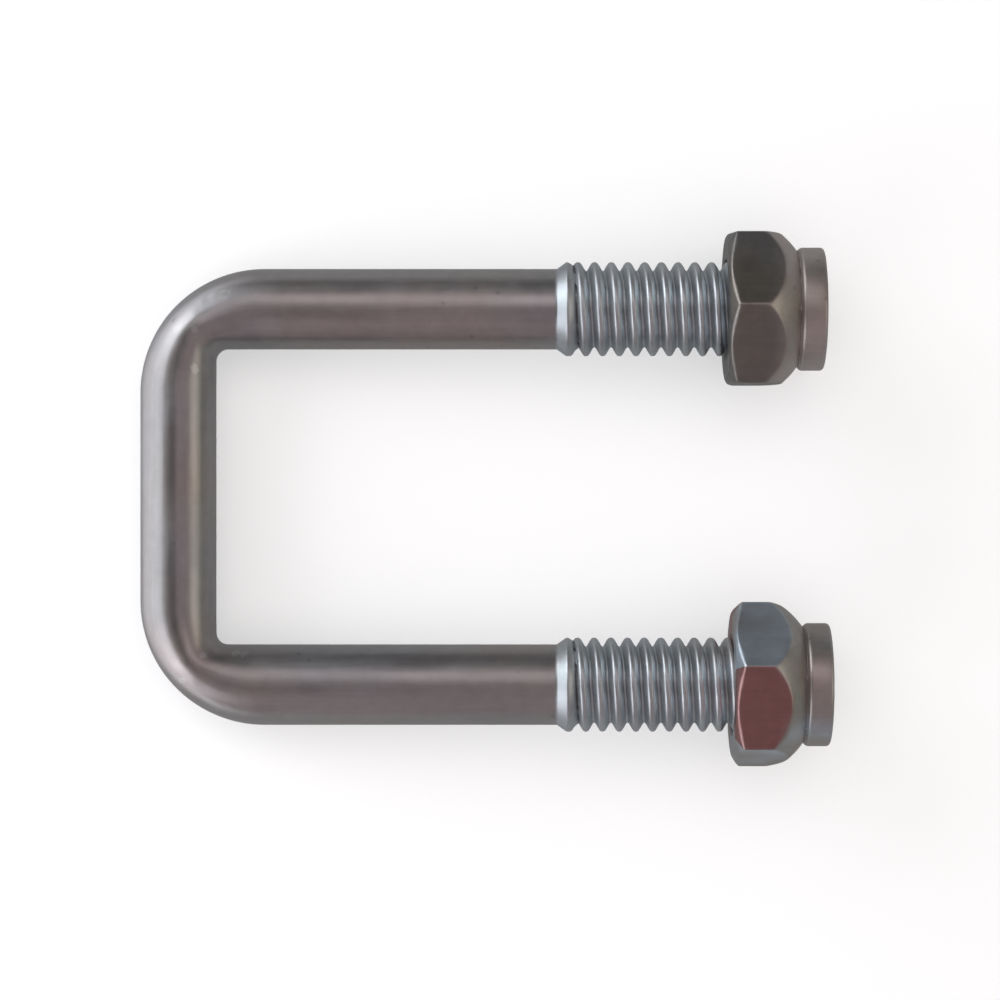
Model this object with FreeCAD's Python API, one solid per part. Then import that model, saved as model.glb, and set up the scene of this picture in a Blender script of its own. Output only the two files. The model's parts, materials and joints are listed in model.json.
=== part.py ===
"""Square-bend U-bolt pad eye with two nylon-insert lock nuts, in millimetres.

The U lies flat. The origin is on the crossbar's inner face, midway between the legs. +X runs along the
legs to their threaded tips, +Y is the side of the left leg, and +Z is up, out of the plane of the U.
"""
import FreeCAD, Part
import math
import os

from FreeCAD import Vector

# --- Thread: 5/16-18, right-handed ---
THREAD_MAJOR_D = 7.9375
THREAD_PITCH = 25.4 / 18
THREAD_PLAY_R = 0.3           # how much further out the nut's flanks stand than the bolt's
THREAD_LENGTH = 20.5          # from the shank's end to the tip, with the shoulder
SHOULDER_LENGTH = 0.8         # cone from the shank up to the crests
TIP_CHAMFER = 0.7             # length of the chamfer on the leg's tip

# --- U-shaped rod ---
SHANK_D = 6.8
BAR_THICKNESS = 6.4           # crossbar, measured along the legs: the press flattens it a little
LEG_SPACING = 31.75           # between the legs' axes
LEG_LENGTH = 49.3             # from the crossbar's inner face to the tips
BEND_OUTER_R = 10.5
BEND_INNER_R = 1.0
BEND_SECTIONS = 21            # sections through each bend
FLANK_STEPS = 8               # steps along each flank of the thread's outline

# --- Lock nut ---
NUT_ACROSS_FLATS = 12.7
HEX_HEIGHT = 6.0
NUT_HEIGHT = 8.25
FACE_CHAMFER_R = 0.3          # how far the bearing face's circle stands inside the flats
FACE_CHAMFER_SLOPE = 0.55     # rise per unit of radius on the bearing side
DOME_HEIGHT = 1.9             # of the rounded shoulder above the flats
DOME_BULGE = 0.35             # how far the shoulder's arc stands outside its chord
NECK_DEPTH = 0.3              # waist between the hexagon and the collar
NECK_HEIGHT = 0.3
COLLAR_WALL = 0.45
LIP_R = 0.7                   # roll of the lip over the insert
LIP_THICKNESS = 0.5
LIP_COVER = 0.42              # how far the lip reaches in over the insert
COUNTERSINK_R = 0.4           # countersink's mouth outside the thread's crests
LEFT_NUT_TURN = 0.0           # degrees about the leg from a corner pointing up
RIGHT_NUT_TURN = -15.0

# --- Nylon insert ---
INSERT_BITE = 0.2             # how far its bore stands inside the bolt's crests
INSERT_WALL = 0.95
INSERT_SEAT_LIFT = 0.1        # the insert's seat above the top of the hexagon
INSERT_CLEARANCE = 0.03
INSERT_CHAMFER = 0.15
LEFT_TIP_GAP = -0.1           # from the leg's tip to the insert: this nut has been run on a little further
RIGHT_TIP_GAP = 0.4

# --- Sizes that follow ---
FLANK_TAN = math.tan(math.radians(30))
THREAD_R = THREAD_MAJOR_D / 2
CREST_FLAT = THREAD_PITCH / 8
SHANK_R = SHANK_D / 2
BOLT_ROOT_R = THREAD_R - 0.61343 * THREAD_PITCH
NUT_MINOR_R = THREAD_R - 0.54127 * THREAD_PITCH + THREAD_PLAY_R / 3
NUT_ROOT_R = THREAD_R + THREAD_PLAY_R
CUT_OVERLAP = 0.1             # how far a cutter reaches past the surface that it opens
RIDGE_PHASE = 0.0             # degrees from the leg's underside to the ridge, at the shank's end
SHANK_END = LEG_LENGTH - THREAD_LENGTH
LEG_Y = LEG_SPACING / 2
INSERT_BORE_R = THREAD_R - INSERT_BITE
INSERT_OUTER_R = INSERT_BORE_R + INSERT_WALL
POCKET_R = INSERT_OUTER_R + INSERT_CLEARANCE
COLLAR_R = POCKET_R + COLLAR_WALL
POCKET_FLOOR = HEX_HEIGHT + INSERT_SEAT_LIFT
POCKET_TOP = NUT_HEIGHT - LIP_THICKNESS
INSERT_BOTTOM = POCKET_FLOOR + INSERT_CLEARANCE
INSERT_TOP = POCKET_TOP - INSERT_CLEARANCE
HAND_TIGHT_FACE = LEG_LENGTH - INSERT_BOTTOM
BEND_X = BEND_OUTER_R - BAR_THICKNESS
BEND_Y = LEG_Y + SHANK_R - BEND_OUTER_R


def revolved(edges):
    """Turn a closed outline, drawn in the XZ plane, about the Z axis."""
    face = Part.Face(Part.Wire(edges))
    return face.revolve(Vector(0, 0, 0), Vector(0, 0, 1), 360)


def lines(points):
    """Straight edges through (radius, height) points, in order."""
    places = [Vector(r, 0, z) for r, z in points]
    return [Part.LineSegment(a, b).toShape() for a, b in zip(places, places[1:])]


def arc(start, middle, end):
    """An arc through three (radius, height) points."""
    places = [Vector(r, 0, z) for r, z in (start, middle, end)]
    return Part.Arc(*places).toShape()


def ridge_outline(root_r, crest_r, phase):
    """Outline straight across a thread: one ridge, its flanks rising evenly with the angle.

    Every section of a screw thread is this same outline, turned. phase is the ridge's angle in degrees.
    """
    turn_per_mm = 2 * math.pi / THREAD_PITCH
    crest_end = CREST_FLAT / 2 * turn_per_mm
    root_start = crest_end + (crest_r - root_r) * FLANK_TAN * turn_per_mm
    middle = math.radians(phase)

    def place(radius, angle):
        return Vector(radius * math.cos(middle + angle), radius * math.sin(middle + angle), 0)

    def round_part(radius, start, end):
        places = [place(radius, angle) for angle in (start, (start + end) / 2, end)]
        return Part.Arc(*places).toShape()

    def flank(start_r, start, end_r, end):
        shares = [step / FLANK_STEPS for step in range(FLANK_STEPS + 1)]
        places = [place(start_r + s * (end_r - start_r), start + s * (end - start)) for s in shares]
        curve = Part.BSplineCurve()
        curve.interpolate(places)
        return curve.toShape()

    return Part.Wire([
        round_part(crest_r, -crest_end, crest_end),
        flank(crest_r, crest_end, root_r, root_start),
        round_part(root_r, root_start, 2 * math.pi - root_start),
        flank(root_r, 2 * math.pi - root_start, crest_r, 2 * math.pi - crest_end),
    ])


def screw(root_r, crest_r, phase, length):
    """A right-handed screw along +Z from Z = 0: the ridge's outline, turned once in every pitch."""
    spine = Part.Wire(Part.LineSegment(Vector(0, 0, 0), Vector(0, 0, length)).toShape())
    guide = Part.makeHelix(THREAD_PITCH, length, crest_r)
    sweep = Part.BRepOffsetAPI.MakePipeShell(spine)
    sweep.setAuxiliarySpine(Part.Wire(guide), True, 0)
    sweep.add(ridge_outline(root_r, crest_r, phase))
    sweep.build()
    sweep.makeSolid()
    return sweep.shape()


def threaded_end():
    """One leg's threaded end along +Z, from the shank's end at Z = 0 to the tip."""
    clear_r = THREAD_R + CUT_OVERLAP
    shoulder_slope = (THREAD_R - SHANK_R) / SHOULDER_LENGTH
    envelope = revolved(lines([
        (0, 0),
        (SHANK_R, 0),
        (clear_r, (clear_r - SHANK_R) / shoulder_slope),
        (clear_r, THREAD_LENGTH - TIP_CHAMFER - CUT_OVERLAP),
        (THREAD_R - TIP_CHAMFER, THREAD_LENGTH),
        (0, THREAD_LENGTH),
        (0, 0),
    ]))
    return screw(BOLT_ROOT_R, THREAD_R, RIDGE_PHASE, THREAD_LENGTH).common(envelope)


def along_leg(shape, x, side):
    """Turn a shape made along +Z onto a leg's axis, with its Z = 0 at x. side is 1 for the left leg."""
    placed = shape.copy()
    placed.rotate(Vector(0, 0, 0), Vector(0, 1, 0), 90)
    placed.translate(Vector(x, side * LEG_Y, 0))
    return placed


def inner_radius(angle):
    """Distance from a bend's centre to the inside of the corner, whose root is a small fillet."""
    bar_in = BEND_OUTER_R - BAR_THICKNESS
    leg_in = BEND_OUTER_R - SHANK_D
    if angle <= math.atan2(leg_in - BEND_INNER_R, bar_in):
        return bar_in / math.cos(angle)
    if angle >= math.atan2(leg_in, bar_in - BEND_INNER_R):
        return leg_in / math.sin(angle)
    fillet_x = bar_in - BEND_INNER_R
    fillet_y = leg_in - BEND_INNER_R
    along = fillet_x * math.cos(angle) + fillet_y * math.sin(angle)
    return along + math.sqrt(along**2 - fillet_x**2 - fillet_y**2 + BEND_INNER_R**2)


def bend_section(angle, side):
    """Outline of the rod at an angle round a bend: 0 at the crossbar, a quarter turn at the leg."""
    inner = inner_radius(angle)
    in_plane = (BEND_OUTER_R - inner) / 2
    out_of_plane = max(in_plane, SHANK_R * (SHANK_R / in_plane) ** 0.4)
    outward = Vector(-math.cos(angle), side * math.sin(angle), 0)
    up = Vector(0, 0, 1)
    wire = Part.Wire(Part.Ellipse(Vector(0, 0, 0), out_of_plane, in_plane).toShape())
    middle = Vector(BEND_X, side * BEND_Y, 0) + outward * ((BEND_OUTER_R + inner) / 2)
    wire.Placement = FreeCAD.Placement(middle, FreeCAD.Rotation(up, outward, up.cross(outward), "XYZ"))
    return wire


def bend(side):
    """A quarter turn of the rod, thinned where the press has squeezed its inside corner square."""
    middle_r = BEND_OUTER_R - SHANK_R
    turn = []
    for angle in (0, math.pi / 4, math.pi / 2):
        x = BEND_X - middle_r * math.cos(angle)
        y = BEND_Y + middle_r * math.sin(angle)
        turn.append(Vector(x, side * y, 0))
    sections = []
    for step in range(BEND_SECTIONS):
        share = 2 * step / (BEND_SECTIONS - 1) - 1
        # The sections stand closer together about the middle of the bend
        spread = math.copysign(abs(share) ** 1.5, share)
        sections.append(bend_section(math.radians(45 + 45 * spread), side))
    return Part.Wire(Part.Arc(*turn).toShape()).makePipeShell(sections, True, True)


def make_u_bolt():
    """The bent rod: crossbar, two bends, two plain shanks and two threaded ends."""
    bar_end = Part.Face(bend_section(0, 1))
    u_bolt = bar_end.extrude(Vector(0, -2 * BEND_Y, 0))
    for side in (1, -1):
        shank = Part.makeCylinder(SHANK_R, SHANK_END - BEND_X)
        pieces = [bend(side), along_leg(shank, BEND_X, side), along_leg(threaded_end(), SHANK_END, side)]
        u_bolt = u_bolt.fuse(pieces)
    return u_bolt.removeSplitter()


def hexagon(height):
    """A hexagonal prism with a corner towards -X, which points up once the nut is on its leg."""
    corner_r = NUT_ACROSS_FLATS / math.sqrt(3)
    corners = []
    for step in range(7):
        angle = math.pi + step * math.pi / 3
        corners.append(Vector(corner_r * math.cos(angle), corner_r * math.sin(angle), 0))
    return Part.Face(Part.makePolygon(corners)).extrude(Vector(0, 0, height))


def nut_envelope():
    """Turned outline of the hexagon's part of the nut: a chamfered face below, a dome above."""
    flat_r = NUT_ACROSS_FLATS / 2
    corner_r = NUT_ACROSS_FLATS / math.sqrt(3)
    face_r = flat_r - FACE_CHAMFER_R
    wide_r = corner_r + FACE_CHAMFER_R
    neck_r = COLLAR_R - NECK_DEPTH
    dome_foot = HEX_HEIGHT - DOME_HEIGHT * (wide_r - neck_r) / (flat_r - neck_r)
    chord = Vector(neck_r - wide_r, 0, HEX_HEIGHT - dome_foot)
    normal = Vector(chord.z, 0, -chord.x).normalize()
    middle = Vector((neck_r + wide_r) / 2, 0, (HEX_HEIGHT + dome_foot) / 2) + normal * DOME_BULGE
    foot = (wide_r, (wide_r - face_r) * FACE_CHAMFER_SLOPE)
    edges = lines([(0, HEX_HEIGHT), (0, 0), (face_r, 0), foot, (wide_r, dome_foot)])
    edges.append(arc((wide_r, dome_foot), (middle.x, middle.z), (neck_r, HEX_HEIGHT)))
    edges += lines([(neck_r, HEX_HEIGHT), (0, HEX_HEIGHT)])
    return revolved(edges)


def collar():
    """Round collar above the hexagon, with a waist at its foot and its lip rolled inwards."""
    neck_r = COLLAR_R - NECK_DEPTH
    roll = LIP_R * (1 - math.sqrt(0.5))
    edges = lines([
        (0, NUT_HEIGHT),
        (0, HEX_HEIGHT),
        (neck_r, HEX_HEIGHT),
        (COLLAR_R, HEX_HEIGHT + NECK_HEIGHT),
        (COLLAR_R, NUT_HEIGHT - LIP_R),
    ])
    edges.append(arc(
        (COLLAR_R, NUT_HEIGHT - LIP_R),
        (COLLAR_R - roll, NUT_HEIGHT - roll),
        (COLLAR_R - LIP_R, NUT_HEIGHT),
    ))
    edges += lines([(COLLAR_R - LIP_R, NUT_HEIGHT), (0, NUT_HEIGHT)])
    return revolved(edges)


def nut_hollow():
    """What is turned out of a nut beside its thread: two countersinks, insert pocket and lip opening."""
    mouth_r = THREAD_R + COUNTERSINK_R
    sink = mouth_r - NUT_MINOR_R
    lip_r = POCKET_R - LIP_COVER
    return revolved(lines([
        (0, -CUT_OVERLAP),
        (mouth_r + CUT_OVERLAP, -CUT_OVERLAP),
        (NUT_MINOR_R, sink),
        (0, sink),
        (0, -CUT_OVERLAP),
    ])).fuse(revolved(lines([
        (0, POCKET_FLOOR - sink),
        (NUT_MINOR_R, POCKET_FLOOR - sink),
        (mouth_r, POCKET_FLOOR),
        (POCKET_R, POCKET_FLOOR),
        (POCKET_R, POCKET_TOP),
        (lip_r, POCKET_TOP),
        (lip_r, NUT_HEIGHT + CUT_OVERLAP),
        (0, NUT_HEIGHT + CUT_OVERLAP),
        (0, POCKET_FLOOR - sink),
    ])))


def make_nut(side, turn, face):
    """A lock nut on its leg, its bearing face at X = face and turned in degrees from a corner pointing up."""
    body = hexagon(HEX_HEIGHT).common(nut_envelope()).fuse(collar())
    body = body.removeSplitter()
    body.rotate(Vector(0, 0, 0), Vector(0, 0, 1), turn)
    # The nut's thread is in step with the leg's: same ridge, carried on from the shank's end
    phase = RIDGE_PHASE + 360 * (face - CUT_OVERLAP - SHANK_END) / THREAD_PITCH
    tap = screw(NUT_MINOR_R, NUT_ROOT_R, phase % 360, POCKET_FLOOR + 2 * CUT_OVERLAP)
    tap.translate(Vector(0, 0, -CUT_OVERLAP))
    body = body.cut(nut_hollow()).cut(tap)
    return along_leg(body, face, side)


def make_insert(side, face):
    """The nylon ring that the collar holds, whose bore is a little smaller than the thread."""
    ring = revolved(lines([
        (INSERT_BORE_R + INSERT_CHAMFER, INSERT_BOTTOM),
        (INSERT_OUTER_R, INSERT_BOTTOM),
        (INSERT_OUTER_R, INSERT_TOP),
        (INSERT_BORE_R + INSERT_CHAMFER, INSERT_TOP),
        (INSERT_BORE_R, INSERT_TOP - INSERT_CHAMFER),
        (INSERT_BORE_R, INSERT_BOTTOM + INSERT_CHAMFER),
        (INSERT_BORE_R + INSERT_CHAMFER, INSERT_BOTTOM),
    ]))
    return along_leg(ring, face, side)


def main():
    """Build every piece and write one STEP file for each."""
    left_face = HAND_TIGHT_FACE + LEFT_TIP_GAP
    right_face = HAND_TIGHT_FACE + RIGHT_TIP_GAP
    nodes = {
        "u_bolt": make_u_bolt(),
        "left_nut": make_nut(1, LEFT_NUT_TURN, left_face),
        "left_insert": make_insert(1, left_face),
        "right_nut": make_nut(-1, RIGHT_NUT_TURN, right_face),
        "right_insert": make_insert(-1, right_face),
    }
    os.makedirs("parts", exist_ok=True)
    for name, shape in nodes.items():
        shape.exportStep(f"parts/{name}.step")
        print(f"{name}: {len(shape.Solids)} solid, {shape.Volume:.1f} mm3, valid {shape.isValid()}")


main()
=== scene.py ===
"""Looks of a square-bend U-bolt pad eye with two nylon-insert lock nuts.

Shapes are built in millimetres and turned into metres at the end. Turned parts are made about the Z axis,
with Z = 0 at their own datum, and are then laid on a leg, so that Z runs along +X.
"""
import json
import logging
import math
from collections.abc import Callable
from dataclasses import dataclass
from enum import Enum

import bmesh
import bpy
from bmesh.types import BMEdge, BMesh, BMVert
from bpy.types import Material, Node, NodeSocket, NodeTree, Object
from mathutils import Matrix, Vector


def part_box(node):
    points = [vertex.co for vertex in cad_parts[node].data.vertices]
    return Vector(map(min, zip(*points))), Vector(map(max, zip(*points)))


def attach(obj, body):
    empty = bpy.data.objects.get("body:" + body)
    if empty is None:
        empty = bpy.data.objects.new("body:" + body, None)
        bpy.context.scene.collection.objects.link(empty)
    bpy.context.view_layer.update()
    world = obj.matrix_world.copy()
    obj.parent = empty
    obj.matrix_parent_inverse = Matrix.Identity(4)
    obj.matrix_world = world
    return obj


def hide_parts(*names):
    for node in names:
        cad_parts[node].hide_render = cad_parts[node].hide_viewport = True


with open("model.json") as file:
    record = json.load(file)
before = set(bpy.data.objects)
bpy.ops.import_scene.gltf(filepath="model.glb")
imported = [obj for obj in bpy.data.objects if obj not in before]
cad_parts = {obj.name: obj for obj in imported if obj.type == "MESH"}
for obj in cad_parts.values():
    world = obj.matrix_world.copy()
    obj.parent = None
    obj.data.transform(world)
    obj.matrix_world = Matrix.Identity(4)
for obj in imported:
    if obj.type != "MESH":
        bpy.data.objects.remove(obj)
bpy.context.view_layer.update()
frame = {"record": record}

Colour = tuple[float, float, float]
MM = 0.001
TAU = 2 * math.pi
WELD = 2e-4  # points nearer than this are one, in millimetres
NUT_THREAD_DEPTH = 0.54127  # of a 60 degree thread, as a share of its pitch
CRISP_ANGLE = math.radians(40)  # edges that turn by more are kept crisp
log = logging.getLogger("pad_eye")


# --- Small helpers for meshes ---


@dataclass(frozen=True)
class Turned:
    """A point of a turned outline: its radius and height, and the radius of the fillet there."""

    r: float
    z: float
    fillet: float = 0.0


def filleted(points: list[Turned], steps: int = 3) -> list[tuple[float, float]]:
    """Round the inner corners of an open outline.

    Args:
        points: the outline's corners in order, with the fillet wanted at each.
        steps: spans along each fillet.

    Returns:
        (radius, height) pairs.
    """
    out = [(points[0].r, points[0].z)]
    for before, corner, after in zip(points, points[1:], points[2:]):
        here = Vector((corner.r, corner.z))
        back = Vector((before.r, before.z)) - here
        ahead = Vector((after.r, after.z)) - here
        reach = min(corner.fillet, 0.45 * back.length, 0.45 * ahead.length)
        start = here + back.normalized() * reach
        end = here + ahead.normalized() * reach
        spans = steps if corner.fillet else 0
        for step in range(spans + 1):
            t = step / max(spans, 1)
            spot = start * (1 - t) ** 2 + here * 2 * t * (1 - t) + end * t**2
            out.append((spot.x, spot.y))
    out.append((points[-1].r, points[-1].z))
    return out


def chain(bm: BMesh, outline: list[tuple[float, float]]) -> list[BMEdge]:
    """Draw an open outline in the XZ plane.

    Args:
        bm: the mesh to draw in.
        outline: (radius, height) pairs.

    Returns:
        The edges, in order.
    """
    verts = [bm.verts.new((r, 0, z)) for r, z in outline]
    return [bm.edges.new(pair) for pair in zip(verts, verts[1:])]


def spun(bm: BMesh, edges: list, steps: int, rise: float = 0.0) -> None:
    """Turn an outline once about Z.

    Args:
        bm: the mesh that holds the outline.
        edges: the outline's edges.
        steps: columns in the full turn.
        rise: how far the outline climbs in the turn. 0 closes it on itself.
    """
    verts = {v for e in edges for v in e.verts}
    bmesh.ops.spin(
        bm,
        geom=[*verts, *edges],
        cent=(0, 0, 0),
        axis=(0, 0, 1),
        dvec=(0, 0, rise / steps),
        angle=TAU,
        steps=steps,
        use_merge=rise == 0.0,
        use_normal_flip=False,
        use_duplicate=False,
    )


def trimmed(bm: BMesh, height: float, keep_above: bool) -> None:
    """Cut a mesh off square at a height.

    Args:
        bm: the mesh.
        height: where the plane stands on Z.
        keep_above: keep what is above the plane, or what is below it.
    """
    bmesh.ops.bisect_plane(
        bm,
        geom=[*bm.verts, *bm.edges, *bm.faces],
        dist=1e-5,
        plane_co=(0, 0, height),
        plane_no=(0, 0, 1),
        clear_inner=keep_above,
        clear_outer=not keep_above,
    )


def ring_at(bm: BMesh, height: float) -> list[BMEdge]:
    """The open edges that lie at a height."""
    return [e for e in bm.edges if e.is_boundary and all(abs(v.co.z - height) < 1e-3 for v in e.verts)]


def ring_drawn_on(bm: BMesh, edges: list) -> tuple[list, list]:
    """Extrude a ring of edges.

    Args:
        bm: the mesh that holds the ring.
        edges: the ring's edges.

    Returns:
        The new ring's points and its edges. They stand where the old ones do.
    """
    grown = bmesh.ops.extrude_edge_only(bm, edges=edges)["geom"]
    ring = {part for part in grown if isinstance(part, BMVert)}
    found = [part for part in grown if isinstance(part, BMEdge)]
    return list(ring), [edge for edge in found if all(vert in ring for vert in edge.verts)]


def finished(bm: BMesh, name: str, place: Matrix) -> Object:
    """Make an object of a mesh drawn in millimetres.

    Args:
        bm: the mesh. It is freed.
        name: the object's name.
        place: where the piece goes, in millimetres.

    Returns:
        The object, at the origin, with its place in its mesh.
    """
    bmesh.ops.transform(bm, matrix=Matrix.Scale(MM, 4) @ place, verts=bm.verts)
    bmesh.ops.recalc_face_normals(bm, faces=bm.faces)
    for face in bm.faces:
        face.smooth = True
    for edge in bm.edges:
        edge.smooth = not edge.is_manifold or edge.calc_face_angle(0.0) < CRISP_ANGLE
    mesh = bpy.data.meshes.new(name)
    bm.to_mesh(mesh)
    bm.free()
    piece = bpy.data.objects.new(name, mesh)
    bpy.context.scene.collection.objects.link(piece)
    return piece


# --- Screw thread ---


@dataclass(frozen=True)
class Thread:
    """A right-handed screw thread, in millimetres, about +Z.

    Its ridge passes over +X at height start. On a rod crest_r is the ridge's top. In a nut the same outline
    is the hollow, so crest_r is the bottom of its groove.
    """

    pitch: float
    crest_r: float
    root_r: float
    start: float = 0.0
    crest_flat: float = 1 / 8
    crest_ease: float = 0.05
    root_ease: float = 0.035

    def outline(self) -> list[tuple[float, float]]:
        """Draw one pitch of the thread.

        Returns:
            (share of a pitch from the ridge's middle, radius) pairs, without the last.
        """
        depth = self.crest_r - self.root_r
        crest = self.crest_flat / 2
        foot = crest + depth * math.tan(math.pi / 6) / self.pitch
        slope = depth / (foot - crest)

        def fall(share: float, ease: float) -> float:
            """How far a flank that starts at share 0 has fallen, its start eased into a curve.

            Args:
                share: how far along, in shares of a pitch.
                ease: how far the curve reaches to either side of the start.

            Returns:
                The fall, in millimetres.
            """
            if share >= ease:
                return share * slope
            return slope * max(share + ease, 0.0) ** 2 / (4 * ease)

        crest_shares = [crest + self.crest_ease * (step / 2 - 1) for step in range(5)]
        foot_shares = [foot + self.root_ease * (step / 2 - 1) for step in range(5)]
        half = []
        for share in (0.0, *crest_shares, (crest + foot) / 2, *foot_shares, 0.5):
            dropped = fall(share - crest, self.crest_ease) - fall(share - foot, self.root_ease)
            half.append((share, self.crest_r - dropped))
        return half + [(1 - share, r) for share, r in reversed(half[1:-1])]

    def mesh(self, low: float, high: float, columns: int) -> BMesh:
        """The bare helical surface between two heights, cut off square at both.

        Args:
            low: lower end on Z.
            high: upper end on Z.
            columns: columns in each turn.

        Returns:
            An open tube whose two ends are rings of edges.
        """
        bm = bmesh.new()
        first = math.floor((low - self.start) / self.pitch) - 1
        last = math.ceil((high - self.start) / self.pitch) + 1
        shares = [(turn + share, r) for turn in range(first, last) for share, r in self.outline()]
        edges = chain(bm, [(r, self.start + share * self.pitch) for share, r in shares])
        spun(bm, edges, columns, self.pitch)
        bmesh.ops.remove_doubles(bm, verts=bm.verts, dist=WELD)
        trimmed(bm, low, True)
        trimmed(bm, high, False)
        return bm


def limited(bm: BMesh, lowest: Callable[[float], float], highest: Callable[[float], float]) -> None:
    """Press every point of a turned mesh in or out until it stands between two outlines.

    Args:
        bm: the mesh, about Z.
        lowest: least radius at a height.
        highest: greatest radius at a height.
    """
    for vert in bm.verts:
        radius = math.hypot(vert.co.x, vert.co.y)
        wanted = min(max(radius, lowest(vert.co.z)), highest(vert.co.z))
        vert.co.x *= wanted / radius
        vert.co.y *= wanted / radius


def eased(value: float) -> float:
    """A smooth step from 0 to 1 as value goes from 0 to 1."""
    t = min(max(value, 0.0), 1.0)
    return t * t * (3 - 2 * t)


def taken_in(bm: BMesh, other: BMesh) -> None:
    """Add another mesh to this one and free it.

    Args:
        bm: the mesh that grows.
        other: the mesh that goes into it.
    """
    mesh = bpy.data.meshes.new("passing")
    other.to_mesh(mesh)
    other.free()
    bm.from_mesh(mesh)
    bpy.data.meshes.remove(mesh)


# --- Where things are, from the frame ---


class Side(Enum):
    """The two legs. The value is the side of the frame's XZ plane that the leg is on."""

    LEFT = 1
    RIGHT = -1

    @property
    def word(self) -> str:
        """The word that the part's names use."""
        return self.name.lower()


@dataclass(frozen=True)
class Layout:
    """The main places of the object in millimetres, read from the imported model."""

    leg_y: float
    shank_r: float
    tip_x: float
    bar_outer_x: float
    left_face_x: float
    right_face_x: float
    pitch: float
    thread_length: float = 20.5

    @classmethod
    def from_frame(cls) -> "Layout":
        """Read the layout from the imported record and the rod's box.

        Returns:
            The layout.
        """
        record = frame["record"]
        mounts = {mount["name"]: mount for mount in record["mounts"]}
        legs = mounts["leg_pair"]["dims"]
        low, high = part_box("u_bolt")
        coupling = record["behaviour"]["couplings"][0]
        return cls(
            leg_y=legs["spacing_x_mm"] / 2,
            shank_r=legs["stud_r_mm"],
            tip_x=high[0] / MM,
            bar_outer_x=low[0] / MM,
            left_face_x=mounts["left_nut_seat"]["pos_m"][0] / MM,
            right_face_x=mounts["right_nut_seat"]["pos_m"][0] / MM,
            pitch=coupling["ratio"] * TAU / MM,
        )

    @property
    def shank_end(self) -> float:
        """Where the plain shank stops and the thread's shoulder starts."""
        return self.tip_x - self.thread_length

    def face_x(self, side: Side) -> float:
        """Where a nut's bearing face stands."""
        return self.left_face_x if side is Side.LEFT else self.right_face_x

    def on_leg(self, side: Side, x: float) -> Matrix:
        """Matrix that lays a turned part on a leg, with its Z = 0 at x and its +X side down.

        Args:
            side: which leg.
            x: where along the leg.

        Returns:
            The matrix, in millimetres.
        """
        return Matrix.Translation((x, side.value * self.leg_y, 0)) @ Matrix.Rotation(math.pi / 2, 4, "Y")


# --- The bent rod ---


@dataclass(frozen=True)
class Station:
    """One section of the rod: its middle, the way out of the U, and its two half widths."""

    middle: Vector
    outward: Vector
    in_plane: float
    out_of_plane: float

    def matrix(self) -> Matrix:
        """Place a unit circle at this section.

        Returns:
            The matrix that takes a unit circle in XY to the section.
        """
        up = Vector((0, 0, 1))
        columns = [self.outward * self.in_plane, up * self.out_of_plane, self.outward.cross(up)]
        turned = Matrix([[column[row] for column in columns] for row in range(3)]).to_4x4()
        return Matrix.Translation(self.middle) @ turned

    def moved(self, x: float, y: float) -> "Station":
        """The same section, moved in the plane of the U."""
        return Station(self.middle + Vector((x, y, 0)), self.outward, self.in_plane, self.out_of_plane)

    def mirrored(self) -> "Station":
        """The section at the same place on the other leg's side."""
        flip = Vector((1, -1, 1))
        return Station(self.middle * flip, self.outward * flip, self.in_plane, self.out_of_plane)


@dataclass(frozen=True)
class PressMark:
    """A shallow mark of the bending die on the rod's upper side, long across the rod."""

    x: float
    y: float
    length: float
    width: float
    depth: float
    heading_deg: float

    def depth_at(self, place: Vector) -> float:
        """How deep the mark is at a place.

        Args:
            place: the place, in millimetres.

        Returns:
            The depth there, in millimetres.
        """
        turn = math.radians(self.heading_deg)
        dx, dy = place.x - self.x, place.y - self.y
        along = (dx * math.cos(turn) + dy * math.sin(turn)) / self.length
        across = (dy * math.cos(turn) - dx * math.sin(turn)) / self.width
        return self.depth * math.exp(-2 * (along**2 + across**2))


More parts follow.
